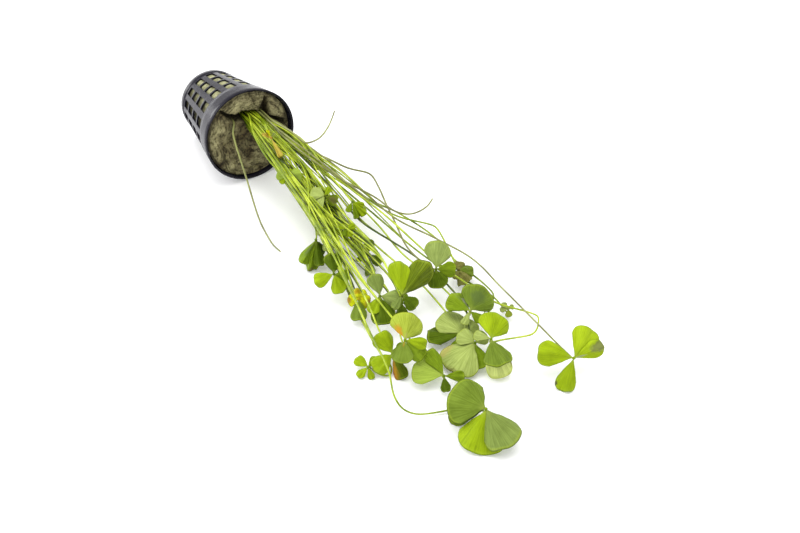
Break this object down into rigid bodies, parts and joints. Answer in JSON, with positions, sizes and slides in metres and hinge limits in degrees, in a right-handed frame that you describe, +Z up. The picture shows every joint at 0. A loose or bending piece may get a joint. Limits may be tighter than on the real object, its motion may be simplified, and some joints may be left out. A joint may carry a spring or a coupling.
{
  "type": "water clover in net pot",
  "caption": "Aquarium water clover: four-part clover leaves on long trailing stems, rooted in a plug of rock wool in a small black net pot that lies on its side.",
  "frame": {"origin": "on the surface that the plant lies on, under the middle of the whole plant's box", "axes": "+X from the pot's base toward its mouth and the leaves, +Z up from the surface, +Y across"},
  "size_m": [0.2846, 0.0998, 0.0518],
  "materials": {
    "black_plastic": "satin moulded black plastic",
    "rock_wool": "matte fibrous mineral wool, stained olive",
    "stem_green": "smooth waxy yellow-green stalk",
    "leaf_green": "thin translucent leaf with fine radiating veins"
  },
  "bodies": {
    "root": {"leaf_big_pale": "leaf_green", "leaf_brown_curl": "leaf_green", "leaf_by_pot": "leaf_green", "leaf_centre_dark": "leaf_green", "leaf_centre_high": "leaf_green", "leaf_centre_low": "leaf_green", "leaf_dark_pair": "leaf_green", "leaf_drooping": "leaf_green", "leaf_front": "leaf_green", "leaf_hanging": "leaf_green", "leaf_left_edge": "leaf_green", "leaf_lower_left": "leaf_green", "leaf_lower_left_small": "leaf_green", "leaf_mid_bright": "leaf_green", "leaf_mid_round": "leaf_green", "leaf_orange": "leaf_green", "leaf_orange_by_pot": "leaf_green", "leaf_pale_round": "leaf_green", "leaf_pale_small": "leaf_green", "leaf_right": "leaf_green", "leaf_round_right": "leaf_green", "leaf_tiny_cluster": "leaf_green", "leaf_tiny_curl": "leaf_green", "leaf_upper_right": "leaf_green", "leaf_yellow_curl": "leaf_green", "leaf_young_dark": "leaf_green", "net_pot": "black_plastic", "rock_wool": "rock_wool", "stem_big_pale": "stem_green", "stem_broken": "stem_green", "stem_brown_curl": "stem_green", "stem_by_pot": "stem_green", "stem_centre_dark": "stem_green", "stem_centre_high": "stem_green", "stem_centre_low": "stem_green", "stem_curled_tip": "stem_green", "stem_dark_pair": "stem_green", "stem_drooping": "stem_green", "stem_front": "stem_green", "stem_hair": "stem_green", "stem_hanging": "stem_green", "stem_left_edge": "stem_green", "stem_lone": "stem_green", "stem_long_bare": "stem_green", "stem_lower_left": "stem_green", "stem_lower_left_small": "stem_green", "stem_mid_bright": "stem_green", "stem_mid_round": "stem_green", "stem_orange": "stem_green", "stem_orange_by_pot": "stem_green", "stem_pale_round": "stem_green", "stem_pale_small": "stem_green", "stem_right": "stem_green", "stem_round_right": "stem_green", "stem_tiny_cluster": "stem_green", "stem_tiny_curl": "stem_green", "stem_upper_right": "stem_green", "stem_yellow_curl": "stem_green", "stem_young_dark": "stem_green"}
  },
  "joints": []
}
